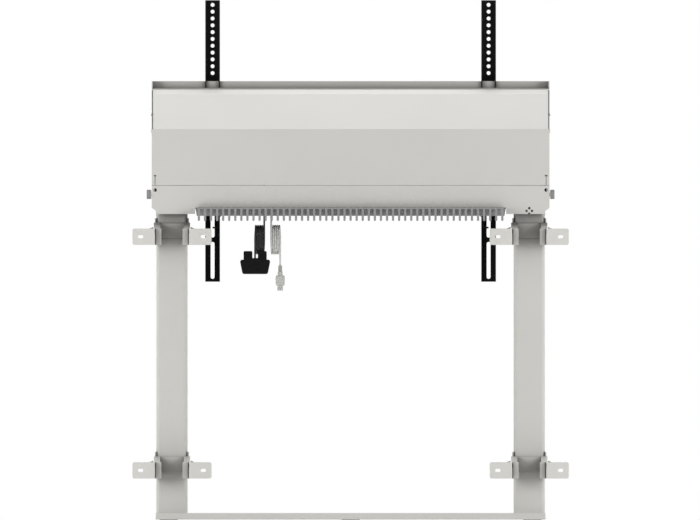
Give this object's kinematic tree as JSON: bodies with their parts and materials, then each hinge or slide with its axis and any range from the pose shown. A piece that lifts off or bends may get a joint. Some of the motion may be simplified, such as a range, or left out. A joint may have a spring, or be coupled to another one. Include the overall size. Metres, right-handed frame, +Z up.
{
  "type": "motorised television lift",
  "caption": "Floor-standing television lift with two telescopic columns, wall brackets, a cased carriage with hanging strips, and a wired handset.",
  "frame": {"origin": "bottom centre of the bounding box, on the floor", "axes": "+Z up, +Y towards the display, -Y towards the wall, +X to the right seen from the wall side"},
  "size_m": [0.96, 0.194, 1.1436],
  "materials": {
    "grey_paint": "satin light warm grey paint",
    "plate_paint": "satin light warm grey paint",
    "bracket_zinc": "satin light warm grey paint",
    "black_paint": "matt black powder coat",
    "black_latch": "matt black powder coat",
    "steel": "plain steel",
    "zinc_screw": "zinc plated",
    "spindle_steel": "ground steel",
    "nut_brass": "bronze",
    "gearbox_cast": "die cast",
    "motor_black": "black enamel",
    "glide_plastic": "natural acetal",
    "comb_plastic": "neutral grey plastic",
    "knob_plastic": "grey plastic",
    "pad_rubber": "black rubber",
    "box_plastic": "black plastic",
    "board": "green laminate",
    "handset_plastic": "black plastic",
    "button_plastic": "grey rubber",
    "black_cord": "black sheath",
    "grey_cord": "grey sheath",
    "plug_plastic": "grey moulding",
    "plug_metal": "nickel plated shell"
  },
  "bodies": {
    "stand": {"base_bar": "grey_paint", "floor_pads": "pad_rubber", "column_feet": "steel", "column_screws": "zinc_screw", "left_column_tube": "grey_paint", "right_column_tube": "grey_paint", "upper_glides": "glide_plastic", "push_tubes": "steel", "spindle_nuts": "nut_brass", "left_top_saddle": "bracket_zinc", "right_top_saddle": "bracket_zinc", "left_bottom_saddle": "bracket_zinc", "right_bottom_saddle": "bracket_zinc", "ear_bolts": "zinc_screw"},
    "carriage": {"left_inner_tube": "steel", "right_inner_tube": "steel", "lower_glides": "glide_plastic", "spindle_bearings": "zinc_screw", "left_gearbox": "gearbox_cast", "right_gearbox": "gearbox_cast", "left_motor": "motor_black", "right_motor": "motor_black", "left_head_bracket": "steel", "right_head_bracket": "steel", "front_plate": "plate_paint", "left_end_plate": "grey_paint", "right_end_plate": "grey_paint", "upper_rear_cover": "grey_paint", "lower_rear_panel": "grey_paint", "cable_comb": "comb_plastic", "casing_screws": "zinc_screw", "control_box": "box_plastic", "control_box_lid": "box_plastic", "control_board": "board", "cord_glands": "box_plastic", "black_lead_drop": "black_cord", "black_lead_hank": "black_cord", "black_lead_tail": "black_cord", "grey_lead_drop": "grey_cord", "grey_lead_hank": "grey_cord", "grey_lead_tail": "grey_cord", "handset_case": "handset_plastic", "handset_back": "handset_plastic", "plug": "plug_plastic", "plug_shell": "plug_metal"},
    "left_spindle": {"left_spindle": "spindle_steel"},
    "left_strip": {"left_strip": "black_paint"},
    "left_strip_latch": {"left_strip_latch": "black_latch"},
    "left_knob": {"left_knob": "knob_plastic"},
    "left_top_ears": {"left_top_ears": "bracket_zinc"},
    "left_bottom_ears": {"left_bottom_ears": "bracket_zinc"},
    "right_spindle": {"right_spindle": "spindle_steel"},
    "right_strip": {"right_strip": "black_paint"},
    "right_strip_latch": {"right_strip_latch": "black_latch"},
    "right_knob": {"right_knob": "knob_plastic"},
    "right_top_ears": {"right_top_ears": "bracket_zinc"},
    "right_bottom_ears": {"right_bottom_ears": "bracket_zinc"},
    "up_button": {"up_button": "button_plastic"},
    "down_button": {"down_button": "button_plastic"}
  },
  "joints": [
    {"name": "lift", "type": "slide", "parent": "stand", "child": "carriage", "axis": [0, 0, 1], "range_m": [0, 0.6]},
    {"name": "left_spindle_turn", "type": "hinge", "parent": "carriage", "child": "left_spindle", "pos_m": [-0.393, 0.005, 0.4], "axis": [0, 0, 1], "range_deg": [0, 21600]},
    {"name": "left_strip_slide", "type": "slide", "parent": "carriage", "child": "left_strip", "axis": [1, 0, 0], "range_m": [-0.016, 0.2]},
    {"name": "left_latch_turn", "type": "hinge", "parent": "left_strip", "child": "left_strip_latch", "pos_m": [-0.2904, 0.086, 0.671], "axis": [1, 0, 0], "range_deg": [0, 25], "stiffness_Nm_per_rad": 0.05, "springref_deg": -17.19},
    {"name": "left_knob_turn", "type": "hinge", "parent": "carriage", "child": "left_knob", "pos_m": [-0.4437, -0.05, 0.7164], "axis": [-1, 0, 0], "range_deg": [0, 720]},
    {"name": "left_top_ears_slide", "type": "slide", "parent": "stand", "child": "left_top_ears", "axis": [0, 1, 0], "range_m": [-0.015, 0.005]},
    {"name": "left_bottom_ears_slide", "type": "slide", "parent": "stand", "child": "left_bottom_ears", "axis": [0, 1, 0], "range_m": [-0.015, 0.005]},
    {"name": "right_spindle_turn", "type": "hinge", "parent": "carriage", "child": "right_spindle", "pos_m": [0.393, 0.005, 0.4], "axis": [0, 0, 1], "range_deg": [0, 21600]},
    {"name": "right_strip_slide", "type": "slide", "parent": "carriage", "child": "right_strip", "axis": [-1, 0, 0], "range_m": [-0.016, 0.2]},
    {"name": "right_latch_turn", "type": "hinge", "parent": "right_strip", "child": "right_strip_latch", "pos_m": [0.2904, 0.086, 0.671], "axis": [1, 0, 0], "range_deg": [0, 25], "stiffness_Nm_per_rad": 0.05, "springref_deg": -17.19},
    {"name": "right_knob_turn", "type": "hinge", "parent": "carriage", "child": "right_knob", "pos_m": [0.4437, -0.05, 0.7164], "axis": [1, 0, 0], "range_deg": [0, 720]},
    {"name": "right_top_ears_slide", "type": "slide", "parent": "stand", "child": "right_top_ears", "axis": [0, 1, 0], "range_m": [-0.015, 0.005]},
    {"name": "right_bottom_ears_slide", "type": "slide", "parent": "stand", "child": "right_bottom_ears", "axis": [0, 1, 0], "range_m": [-0.015, 0.005]},
    {"name": "up_button_press", "type": "slide", "parent": "carriage", "child": "up_button", "axis": [0, -1, 0], "range_m": [0, 0.0012], "stiffness_N_per_m": 400, "springref_m": -0.001},
    {"name": "down_button_press", "type": "slide", "parent": "carriage", "child": "down_button", "axis": [0, -1, 0], "range_m": [0, 0.0012], "stiffness_N_per_m": 400, "springref_m": -0.001}
  ],
  "couplings": [
    {"joint": "left_spindle_turn", "follows": "lift", "rad_per_m": 628.3},
    {"joint": "right_spindle_turn", "follows": "lift", "rad_per_m": 628.3}
  ]
}
